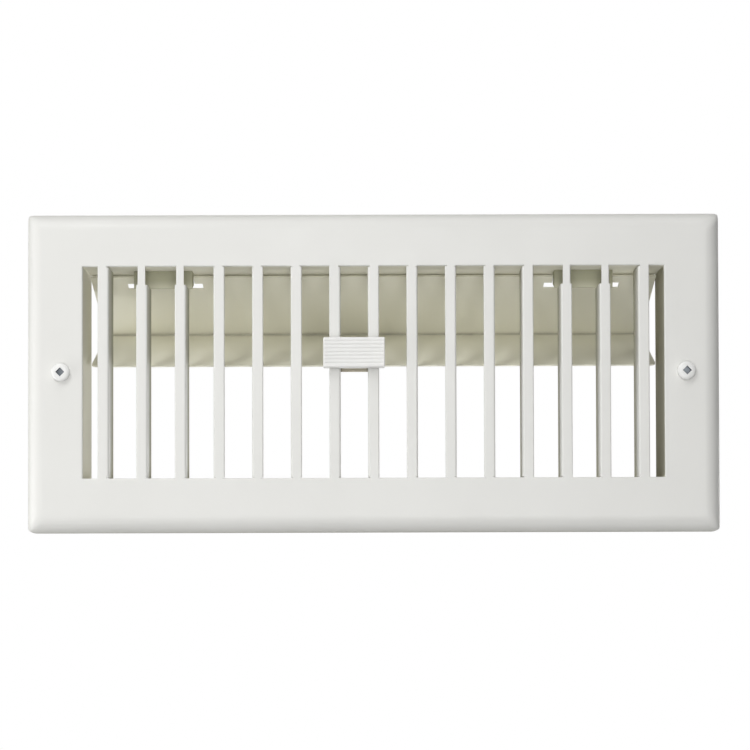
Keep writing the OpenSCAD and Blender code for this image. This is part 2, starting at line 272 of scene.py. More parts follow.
@dataclass(frozen=True)
class Enamel:
    """Baked enamel on sheet steel: a satin film with a fine orange peel and a few dust nibs, and optional
    painted shade.
    """

    name: str
    tone: Colour
    deep_tone: Colour
    sheen_low: float = 0.34
    sheen_high: float = 0.46
    gloss: float = 0.3
    mottle: float = 55.0 * MM
    peel: float = 1.6 * MM
    peel_depth: float = 0.05 * MM
    nib: float = 8.5 * MM
    # Optional painted shade towards the rear along Y: the colour darkens to the rear tone and the film turns
    # rough there; on the face it darkens the fins behind the bars, where shade falls.
    rear_shade_tone: Colour | None = None
    rear_shade_rough: float = 0.95
    rear_shade_from: float = -6.8 * MM
    rear_shade_to: float = 4.4 * MM
    rear_shade_rough_span: Span = (0.0, 0.5)
    shade_marks: tuple[ShadeMark, ...] = ()
    film_share: float = 0.2
    peel_strength: float = 0.35
    nib_strength: float = 0.5
    nib_span: Span = (0.012, 0.035)

    def material(self) -> bpy.types.Material:
        """Builds the finish.

        Returns:
            A material that reads only the piece's own coordinates.
        """
        sheet = NodeSheet(self.name)
        place = sheet.place()
        cloud = sheet.spread(sheet.noise(place, self.mottle, detail=3.0), 0.0, 1.0)
        colour = sheet.blend(cloud, self.tone, self.deep_tone)
        # painted shade: darker towards the rear of the piece
        if self.rear_shade_tone is not None:
            depth = sheet.node("ShaderNodeSeparateXYZ")
            sheet.join(place, depth.inputs["Vector"])
            painted_shade = sheet.spread(depth.outputs["Y"], 0.0, 1.0, (self.rear_shade_from, self.rear_shade_to))
            colour = sheet.blend(painted_shade, colour, self.rear_shade_tone)
        # patches of painted shade laid over the colour
        for mark in self.shade_marks:
            colour = sheet.blend(sheet.near(place, mark), colour, mark.tone)
        sheet.join(colour, sheet.shader.inputs["Base Color"])
        patches = sheet.noise(place, self.mottle * self.film_share)
        film = sheet.spread(patches, self.sheen_low, self.sheen_high)
        if self.rear_shade_tone is not None:
            matt = sheet.node("ShaderNodeMath", operation="MAXIMUM")
            sheet.join(film, matt.inputs[0])
            sheet.join(sheet.spread(painted_shade, 0.0, self.rear_shade_rough, self.rear_shade_rough_span), matt.inputs[1])
            film = matt.outputs["Value"]
        sheet.join(film, sheet.shader.inputs["Roughness"])
        peel = sheet.relief(sheet.noise(place, self.peel, detail=1.0), self.peel_depth, self.peel_strength)
        cells = sheet.node("ShaderNodeTexVoronoi", feature="F1")
        cells.inputs["Scale"].default_value = 1.0 / self.nib
        sheet.join(place, cells.inputs["Vector"])
        nibs = sheet.spread(cells.outputs["Distance"], 1.0, 0.0, self.nib_span)
        normal = sheet.relief(nibs, self.peel_depth, self.nib_strength, peel)
        sheet.join(normal, sheet.shader.inputs["Normal"])
        sheet.set(specular_ior_level=self.gloss)
        return sheet.material


@dataclass(frozen=True)
class MouldedPlastic:
    """Opaque white moulded plastic with a fine spark-eroded texture."""

    name: str
    tone: Colour
    aged_tone: Colour
    rough_low: float = 0.42
    rough_high: float = 0.56
    texture: float = 0.22 * MM
    texture_depth: float = 0.02 * MM
    texture_strength: float = 0.4
    flow: float = 12.0 * MM
    flow_stretch: Point = (0.35, 1.0, 1.0)
    rough_share: float = 0.3
    gloss: float = 0.4

    def material(self) -> bpy.types.Material:
        """Builds the finish.

        Returns:
            A material that reads only the piece's own coordinates.
        """
        sheet = NodeSheet(self.name)
        place = sheet.place()
        flow = sheet.spread(sheet.noise(sheet.place(self.flow_stretch), self.flow), 0.0, 1.0)
        sheet.join(sheet.blend(flow, self.tone, self.aged_tone), sheet.shader.inputs["Base Color"])
        patches = sheet.noise(place, self.flow * self.rough_share)
        rough = sheet.spread(patches, self.rough_low, self.rough_high)
        sheet.join(rough, sheet.shader.inputs["Roughness"])
        grain = sheet.noise(place, self.texture, detail=1.0)
        normal = sheet.relief(grain, self.texture_depth, self.texture_strength)
        sheet.join(normal, sheet.shader.inputs["Normal"])
        sheet.set(specular_ior_level=self.gloss)
        return sheet.material


@dataclass(frozen=True)
class BareSteel:
    """Bare or plated steel with drawing lines along its grain and a dulled film."""

    name: str
    bright: Colour
    dull: Colour
    grain: Grain
    rough_low: float = 0.28
    rough_high: float = 0.46
    line: float = 0.35 * MM
    line_depth: float = 0.02 * MM
    line_strength: float = 0.5
    patch: float = 6.0 * MM

    def material(self) -> bpy.types.Material:
        """Builds the finish.

        Returns:
            A material that reads only the piece's own coordinates.
        """
        sheet = NodeSheet(self.name)
        place = sheet.place()
        film = sheet.spread(sheet.noise(place, self.patch, detail=3.0), 0.0, 1.0)
        sheet.join(sheet.blend(film, self.bright, self.dull), sheet.shader.inputs["Base Color"])
        lines = sheet.noise(sheet.place(self.grain.value), self.line)
        sheet.join(sheet.spread(lines, self.rough_low, self.rough_high), sheet.shader.inputs["Roughness"])
        sheet.join(sheet.relief(lines, self.line_depth, self.line_strength), sheet.shader.inputs["Normal"])
        sheet.set(metallic=1.0)
        return sheet.material


# The face's rear tone is painted shade on the fins behind the bars.
FACE_ENAMEL = Enamel("face_enamel_satin", (0.708, 0.706, 0.68), (0.692, 0.69, 0.664),
                     rear_shade_tone=(0.44, 0.43, 0.34))
# The same white enamel as the face, set brighter and yellower: painted light and khaki shade inside the
# housing.
COLLAR_ENAMEL = Enamel("collar_enamel_matt", (0.88, 0.865, 0.765), (0.865, 0.85, 0.745),
                       sheen_low=0.55, sheen_high=0.7, gloss=0.0)
# Painted shade on the hinge brackets: their enamel is darker than the collar's, and darker still in a band
# along the top rail, where shade falls.
BRACKET_TOP_SHADE = ShadeMark((0.0, 3.2 * MM, 45.0 * MM), reach=8.4 * MM, tone=(0.39, 0.385, 0.28), core=0.4)
BRACKET_SHADED_ENAMEL = Enamel("bracket_enamel_painted_shade", (0.58, 0.57, 0.45), (0.55, 0.54, 0.42),
                        sheen_low=0.55, sheen_high=0.7, gloss=0.0, shade_marks=(BRACKET_TOP_SHADE,))
# The same white enamel as the face, set brighter and yellower: painted light and khaki shade on the leaves
# inside the housing.
DAMPER_ENAMEL = Enamel("damper_enamel_satin", (0.90, 0.885, 0.77), (0.885, 0.87, 0.752),
                       sheen_low=0.40, sheen_high=0.52, gloss=0.06)
SCREW_ENAMEL = Enamel("screw_enamel_gloss", (0.76, 0.76, 0.745), (0.74, 0.74, 0.72),
                      sheen_low=0.22, sheen_high=0.32, gloss=0.35, mottle=10.0 * MM, peel=0.9 * MM)
KNOB_PLASTIC = MouldedPlastic("knob_plastic_white", (0.75, 0.745, 0.73), (0.73, 0.725, 0.705))
# Darker, browner copy of the knob's white plastic for the neck and tenon: painted shade inside the slot below
# the grip.
NECK_SHADED_PLASTIC = MouldedPlastic("knob_plastic_painted_shade", (0.52, 0.485, 0.395), (0.48, 0.445, 0.36),
                              rough_low=0.6, rough_high=0.75, gloss=0.0)
PIN_STEEL = BareSteel("pin_steel_drawn", (0.58, 0.58, 0.57), (0.44, 0.44, 0.44), Grain.ALONG_X)
# Clip steel darkened and browned: painted shade behind the knob.
CLIP_SHADED_STEEL = BareSteel("clip_steel_painted_shade", (0.46, 0.43, 0.35), (0.36, 0.335, 0.27), Grain.ALONG_Z,
                       rough_low=0.5, rough_high=0.65)
# Bare screw steel, darkened beyond bare steel as painted shade in the drive recess; the shank wears it too.
RECESS_SHADED_STEEL = BareSteel("screw_steel_painted_shade", (0.19, 0.205, 0.22), (0.11, 0.12, 0.13), Grain.NONE,
                         rough_low=0.4, rough_high=0.55)


class Bench:
    """Workbench: object and edit mode steps that shape a piece by hand."""

    @staticmethod
    def clear() -> None:
        """Leaves edit mode and deselects every object."""
        if bpy.context.object is not None and bpy.context.object.mode != "OBJECT":
            bpy.ops.object.mode_set(mode="OBJECT")
        bpy.ops.object.select_all(action="DESELECT")

    @staticmethod
    def take(piece: bpy.types.Object) -> None:
        """Makes a piece the active one and selects it alone.

        Args:
            piece: piece to work on.
        """
        Bench.clear()
        piece.select_set(True)
        bpy.context.view_layer.objects.active = piece

    @staticmethod
    def block(name: str, middle: Point, size: Point, turn: Point = (0.0, 0.0, 0.0)) -> bpy.types.Object:
        """Sets up a block to shape a piece from.

        Args:
            name: name of the piece.
            middle: its middle.
            size: its lengths along X, Y and Z.
            turn: its rotation about X, Y and Z.

        Returns:
            The block, with its place put into its mesh.
        """
        Bench.clear()
        bpy.ops.mesh.primitive_cube_add(size=1, location=middle, rotation=turn, scale=size)
        piece = bpy.context.object
        piece.name = name
        bpy.ops.object.transform_apply(location=True, rotation=True, scale=True)
        return piece

    @staticmethod
    def edit() -> None:
        """Enters edit mode on the active piece with everything deselected."""
        bpy.ops.object.mode_set(mode="EDIT")
        bpy.ops.mesh.select_mode(type="VERT")
        bpy.ops.mesh.select_all(action="DESELECT")

    @staticmethod
    def done() -> None:
        """Goes back to object mode."""
        bpy.ops.object.mode_set(mode="OBJECT")

    @staticmethod
    def pick(test: Callable[[Vector], bool]) -> None:
        """Selects the vertices of the active piece that pass a test, with the edges and faces between them.

        Args:
            test: says whether a place in the frame is picked.
        """
        piece = bpy.context.object
        mesh = bmesh.from_edit_mesh(piece.data)
        place = piece.matrix_world
        for element in (*mesh.faces, *mesh.edges):
            element.select = False
        for vertex in mesh.verts:
            vertex.select = test(place @ vertex.co)
        mesh.select_flush(True)
        bmesh.update_edit_mesh(piece.data)

    @staticmethod
    def cut(place: Point, normal: Point) -> None:
        """Cuts the picked faces along a plane.

        Args:
            place: a point on the plane.
            normal: direction across the plane.
        """
        bpy.ops.mesh.bisect(plane_co=place, plane_no=normal, use_fill=False, clear_inner=False,
                            clear_outer=False, threshold=FINE_CUT)

    @staticmethod
    def slice(places: Iterable[Point], normal: Point) -> None:
        """Cuts new edge loops right round the active piece.

        Args:
            places: a point on each cut.
            normal: direction across the cuts.
        """
        for place in places:
            bpy.ops.mesh.select_all(action="SELECT")
            Bench.cut(place, normal)
        bpy.ops.mesh.select_all(action="DESELECT")

    @staticmethod
    def pull(step: Point) -> None:
        """Extrudes the picked faces.

        Args:
            step: how far they move.
        """
        bpy.ops.mesh.extrude_region_move(TRANSFORM_OT_translate={"value": step})

    @staticmethod
    def heal() -> None:
        """Merges doubles and slivers of the active piece and turns its faces outwards."""
        bpy.ops.mesh.select_all(action="SELECT")
        bpy.ops.mesh.remove_doubles(threshold=MERGE)
        bpy.ops.mesh.dissolve_degenerate(threshold=TOUCH)
        bpy.ops.mesh.normals_make_consistent(inside=False)

    @staticmethod
    def apply(piece: bpy.types.Object, kind: str, **settings: object) -> None:
        """Adds a modifier to a piece and applies it.

        Args:
            piece: piece to change.
            kind: Blender's modifier type.
            settings: properties of the modifier.
        """
        Bench.take(piece)
        modifier = piece.modifiers.new(kind.title(), kind)
        for key, value in settings.items():
            setattr(modifier, key, value)
        bpy.ops.object.modifier_apply(modifier=modifier.name)

    @staticmethod
    def settle(piece: bpy.types.Object, angle: float) -> None:
        """Puts a piece's place into its mesh and smooths its shading.

        Args:
            piece: finished piece.
            angle: edges sharper than this many degrees stay crisp.
        """
        Bench.take(piece)
        bpy.ops.object.transform_apply(location=True, rotation=True, scale=True)
        bpy.ops.object.shade_smooth_by_angle(angle=math.radians(angle))
        Bench.clear()

    @staticmethod
    def turn(name: str, start: Point, rings: list[Span], sides: int) -> bpy.types.Object:
        """Turns a round piece along +Y, by extruding and resizing its end face ring by ring.

        Args:
            name: name of the piece.
            start: a point on its axis.
            rings: distance along +Y from the start and radius of each ring.
            sides: corners round each ring.

        Returns:
            The piece in object mode, at its own place.
        """
        Bench.clear()
        x, y, z = start
        along, radius = rings[0]
        bpy.ops.mesh.primitive_circle_add(vertices=sides, radius=radius, fill_type="NGON",
                                          location=(x, y + along, z), rotation=(math.pi / 2, 0, 0))
        piece = bpy.context.object
        piece.name = name
        Bench.edit()
        bpy.ops.mesh.select_all(action="SELECT")
        for next_along, next_radius in rings[1:]:
            Bench.pull((0, next_along - along, 0))
            share = next_radius / radius
            bpy.ops.transform.resize(value=(share, 1, share), center_override=(x, y + next_along, z))
            along, radius = next_along, next_radius
        Bench.heal()
        Bench.done()
        return piece

    @staticmethod
    def join(name: str, pieces: list[bpy.types.Object]) -> bpy.types.Object:
        """Joins pieces into the first one.

        Args:
            name: name of the joined piece.
            pieces: pieces to join.

        Returns:
            The joined piece.
        """
        Bench.clear()
        for piece in pieces:
            piece.select_set(True)
        bpy.context.view_layer.objects.active = pieces[0]
        bpy.ops.object.join()
        pieces[0].name = name
        return pieces[0]


def joint_place(name: str) -> Point:
    """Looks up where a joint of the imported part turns.

    Args:
        name: name of the joint.

    Returns:
        A point on its axis at rest.
    """
    return tuple(next(joint for joint in frame["joints"] if joint["name"] == name)["pos_m"])


def dress(node: str, material: bpy.types.Material) -> None:
    """Gives a CAD node a finish on all its material slots.

    Args:
        node: name of the node.
        material: finish to show.
    """
    mesh = frame["nodes"][node].data
    for index in range(len(mesh.materials)):
        mesh.materials[index] = material
    LOG.info("%s wears %s", node, material.name)


def hand_over(piece: bpy.types.Object, body: Body, slot: Slot, *nodes: str) -> None:
    """Sets a finished piece on its body.

    Args:
        piece: finished piece.
        body: body that carries it.
        slot: record slot of its finish; not used.
        nodes: CAD nodes that it stands for.
    """
    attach(piece, body.value)
    if nodes:
        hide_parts(*nodes)
    LOG.info("%s has %d faces and rides on %s", piece.name, len(piece.data.polygons), body.value)


@dataclass
class FacePressing:
    """The pressed face: rolled rim with soft corners, louvre bars, and slot metal folded back into fins."""

    finish: Enamel = FACE_ENAMEL
    bars: int = 15
    pitch: float = 16.3528 * MM
    turned: tuple[int, ...] = (4, 5, 6, 9, 10, 11)
    bar_reach: float = 7.8 * MM
    bar_end: float = 44.7 * MM
    roll_x: float = 140.0 * MM
    roll_z: float = 60.5 * MM
    crease_end: float = -4.3 * MM
    corner_soft: float = 2.4 * MM
    crisp: float = 80.0

    def build(self) -> None:
        """Works over a copy of the CAD pressing and dresses it."""
        piece = self.pressing()
        piece.data.materials.append(self.finish.material())
        hand_over(piece, Body.FRAME, Slot.FACE, "faceplate")

    def pressing(self) -> bpy.types.Object:
        """Copies the CAD pressing, softens its rim's corners and turns the fins of the middle bars outwards.

        Returns:
            The finished pressing.
        """
        piece = bpy.data.objects.new("faceplate_pressed", frame["nodes"]["faceplate"].data.copy())
        piece.data.materials.clear()
        bpy.context.collection.objects.link(piece)
        Bench.take(piece)
        bpy.ops.mesh.customdata_custom_splitnormals_clear()
        Bench.edit()
        bpy.ops.mesh.select_all(action="SELECT")
        bpy.ops.mesh.remove_doubles(threshold=TOUCH)
        for side_x in (-1, 1):
            for side_z in (-1, 1):
                self.ease_corner(side_x, side_z)
        self.turn_fins()
        Bench.done()
        Bench.settle(piece, self.crisp)
        Bench.apply(piece, "WEIGHTED_NORMAL", mode="FACE_AREA", keep_sharp=True)
        return piece

    def ease_corner(self, side_x: int, side_z: int) -> None:
        """Cuts a loop on both sides of the crease in a rim corner, between which the shading turns softly.

        Args:
            side_x: 1 for a corner at the right and -1 at the left.
            side_z: 1 for a corner at the top and -1 at the bottom.
        """
        def on_crease(p: Vector) -> bool:
            """Says whether a point lies on the crease."""
            return (side_x * p.x > self.roll_x - TOUCH and side_z * p.z > self.roll_z - TOUCH
                    and p.y < self.crease_end)

        across = Vector((side_x, 0.0, -side_z)).normalized()
        for step in (-self.corner_soft, self.corner_soft):
            Bench.pick(on_crease)
            bpy.ops.mesh.select_more()
            corner = Vector((side_x * self.roll_x, 0.0, side_z * self.roll_z)) + step * across
            Bench.cut(corner, across)

    def turn_fins(self) -> None:
        """Mirrors the middle bars, so that their fins fold away from the knob, and closes their ends."""
        Bench.slice([(0, 0, side * self.bar_end) for side in (-1, 1)], (0, 0, 1))
        for bar in self.turned:
            x = (bar - (self.bars + 1) / 2) * self.pitch

            def on_bar(p: Vector) -> bool:
                """Says whether a point lies on this bar or its fin."""
                return abs(p.x - x) < self.bar_reach and abs(p.z) < self.bar_end + TOUCH

            Bench.pick(on_bar)
            bpy.ops.mesh.split()
            bpy.ops.transform.resize(value=(-1, 1, 1), center_override=(x, 0, 0))
            bpy.ops.mesh.flip_normals()
        bpy.ops.mesh.select_all(action="DESELECT")
        bpy.ops.mesh.select_non_manifold(extend=False, use_wire=False, use_boundary=True,
                                         use_multi_face=False, use_non_contiguous=False, use_verts=False)
        bpy.ops.mesh.fill_holes(sides=0)
        bpy.ops.mesh.select_all(action="SELECT")
        bpy.ops.mesh.dissolve_degenerate(threshold=TOUCH)


@dataclass
class DuctCollar:
    """Rails, end plates and hinge brackets, with the marks of the spot welds that hold them."""

    finish: Enamel = COLLAR_ENAMEL
    bracket_shade_finish: Enamel = BRACKET_SHADED_ENAMEL
    weld_r: float = 2.1 * MM
    weld_rise: float = 0.14 * MM
    weld_rings: tuple[Span, ...] = (  # height and radius of each ring, as shares of the rise and of weld_r
        (-1.0, 1.0), (0.35, 0.97), (1.0, 0.8), (0.7, 0.62), (0.1, 0.5), (0.02, 0.2))
    weld_sides: int = 24
    flange_rear: float = -6.4 * MM
    rail_weld_z: float = 50.4 * MM
    rail_weld_pitch: float = 41.0 * MM
    rail_welds: int = 6
    end_weld_x: float = 126.4 * MM
    end_weld_z: float = 27.0 * MM
    rail_rear: float = 14.5 * MM
    rail_z: float = 44.9 * MM
    sheet_t: float = 0.8 * MM
    hem_w: float = 245.6 * MM
    hem_drop: float = 0.5 * MM
    hem_soft: float = 0.22 * MM
    hem_segments: int = 3
    # Place, half size and tone of the painted shade on the inner face of the right end plate.
    wall_x: float = 123.15 * MM
    wall_y: float = 4.0 * MM
    wall_half: Point = (0.4 * MM, 60.0 * MM, 45.6 * MM)
    wall_shade_tone: Colour = (0.43, 0.415, 0.335)
    wall_shade_core: float = 0.97
    crisp: float = 50.0

    def build(self) -> None:
        """Dresses the sheet pieces, with painted shade inside the right end plate, and adds weld marks and
        hems.
        """
        material = self.finish.material()
        for node in ("top_rail", "bottom_rail", "left_end_plate"):
            dress(node, material)
        # painted shade over the inner face of the right end plate
        inside = ShadeMark((self.wall_x, self.wall_y, 0.0), 1.0, self.wall_shade_tone, self.wall_shade_core,
                      tuple(1.0 / half for half in self.wall_half))
        painted_shade = replace(self.finish, name="right_end_enamel_painted_shade", shade_marks=(inside,))
        dress("right_end_plate", painted_shade.material())
        # the brackets take the enamel with painted shade
        dull = self.bracket_shade_finish.material()
        for node in ("hinge_bracket_left", "hinge_bracket_right"):
            dress(node, dull)
        for piece in (self.weld_marks(), self.hem("top_rail_hem", 1), self.hem("bottom_rail_hem", -1)):
            piece.data.materials.append(material)
            hand_over(piece, Body.FRAME, Slot.COLLAR)

    def hem(self, name: str, side: int) -> bpy.types.Object:
        """Models the narrow lip with rounded edges that stiffens the rear edge of a rail.

        Args:
            name: name of the piece.
            side: 1 for the top rail and -1 for the bottom rail.

        Returns:
            The finished lip.
        """
        middle = (0.0, self.rail_rear - self.sheet_t / 2, side * (self.rail_z - self.hem_drop / 2))
        piece = Bench.block(name, middle, (self.hem_w, self.sheet_t, self.hem_drop))
        Bench.apply(piece, "BEVEL", width=self.hem_soft, segments=self.hem_segments, limit_method="ANGLE")
        Bench.settle(piece, self.crisp)
        return piece

    def weld_marks(self) -> bpy.types.Object:
        """Models the weld marks, each a shallow ring round a dent, along the flanges.

        Returns:
            All marks as one piece.
        """
        rings = [(height * self.weld_rise, share * self.weld_r) for height, share in self.weld_rings]
        half = (self.rail_welds - 1) / 2
        places = [((i - half) * self.rail_weld_pitch, s * self.rail_weld_z)
                  for s in (-1, 1) for i in range(self.rail_welds)]
        places += [(s * self.end_weld_x, t * self.end_weld_z) for s in (-1, 1) for t in (-1, 1)]
        marks = [Bench.turn("weld", (x, self.flange_rear, z), rings, self.weld_sides) for x, z in places]
        piece = Bench.join("flange_weld_marks", marks)
        Bench.settle(piece, self.crisp)
        return piece


@dataclass
class FoldingDamper:
    """Two leaves that fold on a hooked bead, and the wire pins that the upper one hangs on."""

    finish: Enamel = DAMPER_ENAMEL
    pin_finish: BareSteel = PIN_STEEL
    leaf_head: float = 3.0 * MM
    leaf_t: float = 0.6 * MM
    # Painted shade: a light band along the upper leaf's top edge under the rail, a wider band along the fold,
    # and a dark line on the bead where the fold's gap lies in shadow.
    edge_shade_reach: float = 0.42 * MM
    edge_shade_tone: Colour = (0.72, 0.70, 0.585)
    fold_shade_reach: float = 3.2 * MM
    fold_shade_core: float = 0.2
    fold_shade_tone: Colour = (0.70, 0.68, 0.57)
    bead_shade_reach: float = 1.04 * MM
    bead_shade_tone: Colour = (0.30, 0.29, 0.225)

    def build(self) -> None:
        """Dresses leaves and pins, with painted shade along the top edge of the upper leaf, along the fold
        and on the bead.
        """
        hinge, fold = Vector(joint_place("damper_swing")), Vector(joint_place("leaf_fold"))
        along = (fold - hinge).normalized()
        rear = Vector((0.0, -along.z, along.y))
        edge = hinge - self.leaf_head * along + self.leaf_t / 2 * rear
        # painted shade at the upper leaf's top edge, along the fold and on the bead
        fold_shade = ShadeMark(tuple(fold), self.fold_shade_reach, self.fold_shade_tone, self.fold_shade_core)
        edge_shade = ShadeMark(tuple(edge), self.edge_shade_reach, self.edge_shade_tone)
        bead = ShadeMark(tuple(fold), self.bead_shade_reach, self.bead_shade_tone)
        for node, mark in (("upper_leaf", edge_shade), ("lower_leaf", bead)):
            dress(node, replace(self.finish, name=f"{node}_enamel", shade_marks=(fold_shade, mark)).material())
        steel = self.pin_finish.material()
        for node in ("hinge_pin_left", "hinge_pin_right", "knob_pivot_pin"):
            dress(node, steel)


@dataclass
class SlidingKnob:
    """The ridged grip in front of the bars, its neck through the slot and the clip behind."""

    finish: MouldedPlastic = KNOB_PLASTIC
    neck_shade_finish: MouldedPlastic = NECK_SHADED_PLASTIC
    clip_finish: BareSteel = CLIP_SHADED_STEEL
    middle_x: float = field(init=False)
    pivot_z: float = field(init=False)
    rise: float = 2.7 * MM
    width: float = 26.0 * MM
    height: float = 12.7 * MM
    front: float = -13.0 * MM
    rear: float = -8.4 * MM
    grooves: int = 7
    groove_pitch: float = 1.55 * MM
    groove_half: float = 0.44 * MM
    groove_depth: float = 0.28 * MM
    groove_margin: float = 0.9 * MM
    groove_end: float = 0.3 * MM
    groove_cuts: tuple[float, ...] = (-1.0, -0.62, -0.25, 0.25, 0.62, 1.0)  # shares of groove_half
    groove_shape: tuple[Span, ...] = ((0.62, 0.45), (0.25, 1.0))  # cut, and share of the depth there
    neck_half: float = 5.406 * MM
    neck_below: float = 4.3 * MM
    neck_above: float = 5.4 * MM
    neck_rear: float = -1.3 * MM
    tenon_half: float = 3.1 * MM
    tenon_low: float = 1.2 * MM
    tenon_high: float = 4.2 * MM
    tenon_rear: float = 0.5 * MM
    soft_edge: float = 0.55 * MM
    soft_segments: int = 4
    crisp: float = 42.0

    def __post_init__(self) -> None:
        """Takes the knob's place from the joint that it turns on."""
        self.middle_x, _, self.pivot_z = joint_place("knob_pivot")

    def build(self) -> None:
        """Models the grip, with painted shade on its neck, and dresses the clip in steel darkened as painted
        shade.
        """
        dress("knob_clip", self.clip_finish.material())
        grip = self.grip()
        for finish in (self.finish, self.neck_shade_finish):
            grip.data.materials.append(finish.material())
        # faces behind the grip's rear face, the neck and tenon, take the plastic with painted shade
        for face in grip.data.polygons:
            face.material_index = int(face.center.y > self.rear + TOUCH)
        hand_over(grip, Body.KNOB, Slot.KNOB, "knob_grip")

    def grip(self) -> bpy.types.Object:
        """Models the grip from a block: edges softened, finger grooves pressed in, neck and tenon pulled out.

        Returns:
            The finished grip.
        """
        middle_z = self.pivot_z + self.rise
        piece = Bench.block("knob_grip_ridged", (self.middle_x, (self.front + self.rear) / 2, middle_z),
                            (self.width, self.rear - self.front, self.height))
        self.soften(piece)
        Bench.edit()
        self.press_grooves(middle_z)
        self.pull_neck()
        Bench.heal()
        Bench.done()
        Bench.settle(piece, self.crisp)
        return piece

    def soften(self, piece: bpy.types.Object) -> None:
        """Rounds the front edges and the upright corners of the block.

        Args:
            piece: the block.
        """
        Bench.edit()
        bpy.ops.mesh.select_mode(type="EDGE")
        mesh = bmesh.from_edit_mesh(piece.data)
        for edge in mesh.edges:
            edge.select = not all(abs(v.co.y - self.rear) < TOUCH for v in edge.verts)
        bmesh.update_edit_mesh(piece.data)
        bpy.ops.mesh.bevel(offset=self.soft_edge, offset_type="OFFSET", segments=self.soft_segments,
                           profile=0.5, affect="EDGES")
        Bench.done()

    def press_grooves(self, middle_z: float) -> None:
        """Cuts loops across the front and presses the finger grooves in.

        Args:
            middle_z: height of the grip's middle.
        """
        half = (self.grooves - 1) / 2
        centres = [middle_z + (i - half) * self.groove_pitch for i in range(self.grooves)]
        Bench.slice([(0, 0, c + s * self.groove_half) for c in centres for s in self.groove_cuts], (0, 0, 1))
        inner = self.width / 2 - self.groove_margin
        ends = (inner, inner + self.groove_end)
        Bench.slice([(self.middle_x + s * end, 0, 0) for s in (-1, 1) for end in ends], (1, 0, 0))
        for centre in centres:
            for step, share in self.groove_shape:
                reach = step * self.groove_half

                def on_groove(p: Vector) -> bool:
                    """Says whether a point lies on this line of the groove."""
                    return (p.y < self.front + TOUCH and abs(abs(p.z - centre) - reach) < TOUCH
                            and abs(p.x - self.middle_x) < inner + TOUCH)

                Bench.pick(on_groove)
                bpy.ops.transform.translate(value=(0, share * self.groove_depth, 0))

    def pull_neck(self) -> None:
        """Pulls the neck and its tenon out of the rear face."""
        low, high = self.pivot_z - self.neck_below, self.pivot_z + self.neck_above
        tenon_low, tenon_high = self.pivot_z + self.tenon_low, self.pivot_z + self.tenon_high
        Bench.slice([(0, 0, z) for z in (low, high, tenon_low, tenon_high)], (0, 0, 1))
        halves = (self.neck_half, self.tenon_half)
        Bench.slice([(self.middle_x + s * half, 0, 0) for s in (-1, 1) for half in halves], (1, 0, 0))

        def on_neck(p: Vector) -> bool:
            """Says whether a point lies on the neck's root."""
            return (p.y > self.rear - TOUCH and abs(p.x - self.middle_x) < self.neck_half + TOUCH
                    and low - TOUCH < p.z < high + TOUCH)

        def on_tenon(p: Vector) -> bool:
            """Says whether a point lies on the tenon's root."""
            return (p.y > self.neck_rear - TOUCH and abs(p.x - self.middle_x) < self.tenon_half + TOUCH
                    and tenon_low - TOUCH < p.z < tenon_high + TOUCH)

        Bench.pick(on_neck)
        Bench.pull((0, self.neck_rear - self.rear, 0))
        Bench.pick(on_tenon)
        Bench.pull((0, self.tenon_rear - self.neck_rear, 0))


